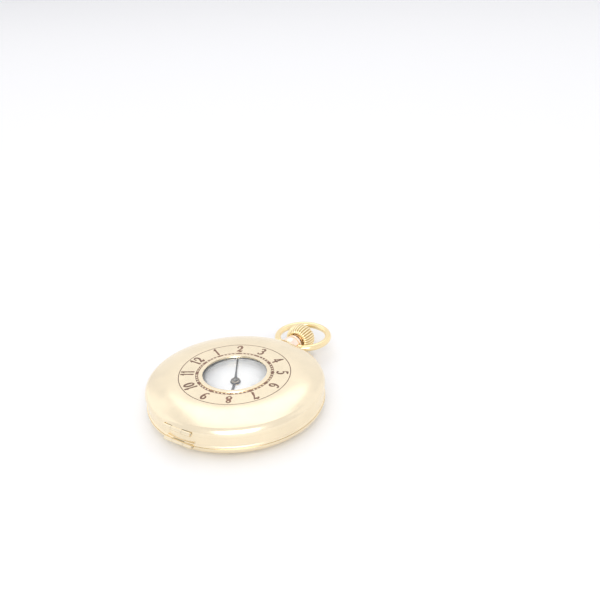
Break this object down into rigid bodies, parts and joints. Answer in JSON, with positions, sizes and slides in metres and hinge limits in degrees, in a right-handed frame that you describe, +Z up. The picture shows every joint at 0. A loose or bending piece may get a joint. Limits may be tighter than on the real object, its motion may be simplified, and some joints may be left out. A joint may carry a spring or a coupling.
{
  "type": "half hunter pocket watch",
  "caption": "Keyless half hunter pocket watch: hinged front cover with a small round window and a ring of enamelled numerals, side crown and swivelling bow.",
  "frame": {"origin": "middle of the flat on the back cover that the watch lies on", "axes": "+X from the middle to the crown (3 o'clock), +Y to 12 o'clock, +Z up out of the dial and the front cover"},
  "size_m": [0.0696, 0.05, 0.0111],
  "materials": {
    "gold_case": "polished gold over brass, slightly matt flat",
    "gold_bow": "polished yellow gold over brass",
    "dark_enamel": "inlaid dark brown enamel",
    "white_enamel": "glossy white enamel",
    "clear_glass": "clear, polished",
    "steel": "fine ground",
    "blued_steel": "polished and blued",
    "hand_steel": "polished, darkly blued",
    "nickel_plate": "nickelled brass, striped",
    "gilt_brass": "gilded, fine grain",
    "ruby": "polished red stone"
  },
  "bodies": {
    "case": {"case_band": "gold_case", "inner_bezel": "gold_case", "dial_crystal": "clear_glass", "lid_hinge_pin": "steel", "back_hinge_pin": "steel", "cuvette_hinge_pin": "steel", "fly_spring": "steel", "case_screws": "blued_steel", "mainplate": "nickel_plate", "barrel_bridge": "nickel_plate", "train_bridge": "nickel_plate", "balance_cock": "nickel_plate", "pallet_cock": "nickel_plate", "bridge_screws": "blued_steel", "pallet_cock_screws": "blued_steel", "jewels": "ruby", "click_spring": "steel", "crown_wheel_screw": "blued_steel", "dial": "white_enamel", "hairspring": "blued_steel"},
    "lid": {"front_lid": "gold_case", "lid_enamel": "dark_enamel", "lid_glass_ring": "gold_case", "lid_window_glass": "clear_glass"},
    "back": {"back_cover": "gold_case"},
    "cuvette": {"cuvette": "gold_case"},
    "lock": {"lock_spring": "steel"},
    "bow": {"bow": "gold_bow"},
    "winding": {"winding_pinion": "steel"},
    "stem": {"winding_stem": "steel"},
    "crown": {"crown": "gold_bow", "pendant_stem": "steel"},
    "clutch": {"clutch": "steel"},
    "crown_wheel": {"crown_wheel": "steel"},
    "ratchet": {"ratchet_wheel": "steel", "ratchet_screw": "blued_steel", "barrel_arbor": "steel"},
    "click": {"click": "steel"},
    "setting_lever": {"setting_lever": "steel"},
    "yoke": {"yoke": "steel"},
    "barrel": {"mainspring_barrel": "gilt_brass", "barrel_cover": "gilt_brass", "mainspring": "steel"},
    "centre": {"centre_wheel": "gilt_brass"},
    "third": {"third_wheel": "gilt_brass"},
    "fourth": {"fourth_wheel": "gilt_brass", "seconds_hand": "hand_steel"},
    "escape": {"escape_wheel": "steel"},
    "pallets": {"pallet_fork": "steel", "pallet_stones": "ruby"},
    "balance": {"balance_wheel": "gilt_brass", "balance_staff": "steel"},
    "regulator": {"regulator": "steel"},
    "minute": {"cannon_pinion": "steel", "minute_hand": "hand_steel"},
    "hour": {"hour_wheel": "gilt_brass", "hour_hand": "hand_steel"},
    "minute_wheel": {"minute_wheel": "gilt_brass"},
    "setting_wheel": {"setting_wheel": "steel"}
  },
  "joints": [
    {"name": "lid_open", "type": "hinge", "parent": "case", "child": "lid", "pos_m": [-0.025, 0, 0.00733], "axis": [0, -1, 0], "range_deg": [0, 95]},
    {"name": "back_open", "type": "hinge", "parent": "case", "child": "back", "pos_m": [-0.025, 0, 0.00347], "axis": [0, 1, 0], "range_deg": [0, 95]},
    {"name": "cuvette_open", "type": "hinge", "parent": "case", "child": "cuvette", "pos_m": [-0.02342, 0, 0.00275], "axis": [0, 1, 0], "range_deg": [0, 80]},
    {"name": "bow_swing", "type": "hinge", "parent": "case", "child": "bow", "pos_m": [0.0281, 0, 0.0054], "axis": [0, 1, 0], "range_deg": [-80, 80]},
    {"name": "lock_spring_flex", "type": "hinge", "parent": "case", "child": "lock", "pos_m": [0.01596, 0.01653, 0.0068], "axis": [0, 0, 1], "range_deg": [-1.4, 0], "stiffness_Nm_per_rad": 0.5},
    {"name": "crown_turn", "type": "hinge", "parent": "case", "child": "winding", "pos_m": [0.013, 0, 0.0054], "axis": [1, 0, 0], "continuous": true},
    {"name": "crown_pull", "type": "slide", "parent": "winding", "child": "stem", "axis": [1, 0, 0], "range_m": [0, 0.001]},
    {"name": "crown_press", "type": "slide", "parent": "stem", "child": "crown", "axis": [1, 0, 0], "range_m": [-0.0007, 0], "stiffness_N_per_m": 1500},
    {"name": "clutch_slide", "type": "slide", "parent": "winding", "child": "clutch", "axis": [1, 0, 0], "range_m": [-0.0008, 0]},
    {"name": "setting_lever_turn", "type": "hinge", "parent": "case", "child": "setting_lever", "pos_m": [0.0156, 0.0046, 0.0065], "axis": [0, 0, 1], "range_deg": [0, 12.5]},
    {"name": "yoke_turn", "type": "hinge", "parent": "case", "child": "yoke", "pos_m": [0.0118, 0.006, 0.0065], "axis": [0, 0, 1], "range_deg": [-9.85, 0]},
    {"name": "crown_wheel_turn", "type": "hinge", "parent": "case", "child": "crown_wheel", "pos_m": [0.0096, 0, 0.00265], "axis": [0, 0, 1], "continuous": true},
    {"name": "ratchet_turn", "type": "hinge", "parent": "case", "child": "ratchet", "pos_m": [0.00465, 0.00874, 0.00265], "axis": [0, 0, 1], "continuous": true},
    {"name": "click_lift", "type": "hinge", "parent": "case", "child": "click", "pos_m": [0.00066, 0.01623, 0.00265], "axis": [0, 0, 1], "range_deg": [0, 8], "stiffness_Nm_per_rad": 0.002},
    {"name": "barrel_turn", "type": "hinge", "parent": "case", "child": "barrel", "pos_m": [0.00465, 0.00874, 0.005], "axis": [0, 0, 1], "continuous": true},
    {"name": "centre_turn", "type": "hinge", "parent": "case", "child": "centre", "pos_m": [0, 0, 0.005], "axis": [0, 0, 1], "continuous": true},
    {"name": "third_turn", "type": "hinge", "parent": "case", "child": "third", "pos_m": [0.00429, -0.00578, 0.005], "axis": [0, 0, 1], "continuous": true},
    {"name": "seconds_turn", "type": "hinge", "parent": "case", "child": "fourth", "pos_m": [0, -0.0105, 0.005], "axis": [0, 0, 1], "continuous": true},
    {"name": "escape_turn", "type": "hinge", "parent": "case", "child": "escape", "pos_m": [-0.005, -0.0122, 0.005], "axis": [0, 0, 1], "continuous": true},
    {"name": "pallet_rock", "type": "hinge", "parent": "case", "child": "pallets", "pos_m": [-0.00806, -0.00975, 0.0053], "axis": [0, 0, 1], "range_deg": [-5, 5]},
    {"name": "balance_swing", "type": "hinge", "parent": "case", "child": "balance", "pos_m": [-0.0115, -0.007, 0.0045], "axis": [0, 0, 1], "range_deg": [-270, 270], "stiffness_Nm_per_rad": 0.000001},
    {"name": "regulator_turn", "type": "hinge", "parent": "case", "child": "regulator", "pos_m": [-0.0115, -0.007, 0.003], "axis": [0, 0, 1], "range_deg": [-18, 18]},
    {"name": "minute_hand_turn", "type": "hinge", "parent": "case", "child": "minute", "pos_m": [0, 0, 0.0075], "axis": [0, 0, 1], "continuous": true},
    {"name": "hour_turn", "type": "hinge", "parent": "case", "child": "hour", "pos_m": [0, 0, 0.0075], "axis": [0, 0, 1], "continuous": true},
    {"name": "minute_wheel_turn", "type": "hinge", "parent": "case", "child": "minute_wheel", "pos_m": [0.00327, 0.00077, 0.0065], "axis": [0, 0, 1], "continuous": true},
    {"name": "setting_wheel_turn", "type": "hinge", "parent": "case", "child": "setting_wheel", "pos_m": [0.0074, 0, 0.0065], "axis": [0, 0, 1], "continuous": true}
  ],
  "couplings": [
    {"joint": "cuvette_open", "follows": "back_open", "ratio": 0.84},
    {"joint": "clutch_slide", "follows": "crown_pull", "ratio": -0.8},
    {"joint": "setting_lever_turn", "follows": "crown_pull", "rad_per_m": 217.39},
    {"joint": "yoke_turn", "follows": "crown_pull", "rad_per_m": -170.21},
    {"joint": "crown_wheel_turn", "follows": "crown_turn", "ratio": 0.44444},
    {"joint": "ratchet_turn", "follows": "crown_turn", "ratio": -0.2963},
    {"joint": "third_turn", "follows": "seconds_turn", "ratio": -0.13333},
    {"joint": "centre_turn", "follows": "seconds_turn", "ratio": 0.016667},
    {"joint": "barrel_turn", "follows": "seconds_turn", "ratio": -0.0020833},
    {"joint": "escape_turn", "follows": "seconds_turn", "ratio": -10},
    {"joint": "hour_turn", "follows": "minute_hand_turn", "ratio": 0.083333},
    {"joint": "minute_wheel_turn", "follows": "minute_hand_turn", "ratio": -0.33333},
    {"joint": "setting_wheel_turn", "follows": "minute_hand_turn", "ratio": 0.5}
  ]
}
